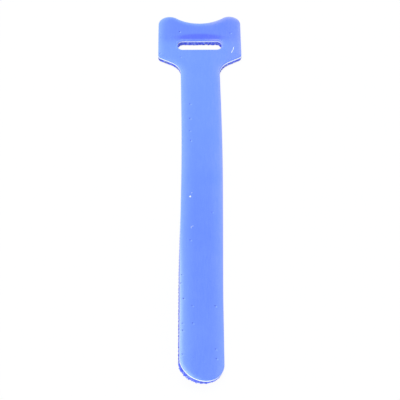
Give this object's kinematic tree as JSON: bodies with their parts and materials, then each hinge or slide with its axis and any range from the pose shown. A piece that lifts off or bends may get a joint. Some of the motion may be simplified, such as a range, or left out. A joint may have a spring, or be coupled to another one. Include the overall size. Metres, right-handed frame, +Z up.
{
  "type": "hook and loop cable tie",
  "caption": "Flat blue hook and loop cable tie with a round tail end and a wide head whose slot takes the strap, lying hooks down.",
  "frame": {"origin": "below the middle of the tie, on the surface that it lies on: the centre of the bounding box's bottom face", "axes": "+X across the strap, +Y along the strap from its round end towards its head, +Z up, out of the loop face"},
  "size_m": [0.0275, 0.15, 0.0055],
  "materials": {
    "loop_fabric": "soft brushed loop knit, satin",
    "hook_plastic": "moulded, matte, pale at its cut edge"
  },
  "bodies": {
    "root": {"loop_layer": "loop_fabric", "hook_layer": "hook_plastic"}
  },
  "joints": []
}
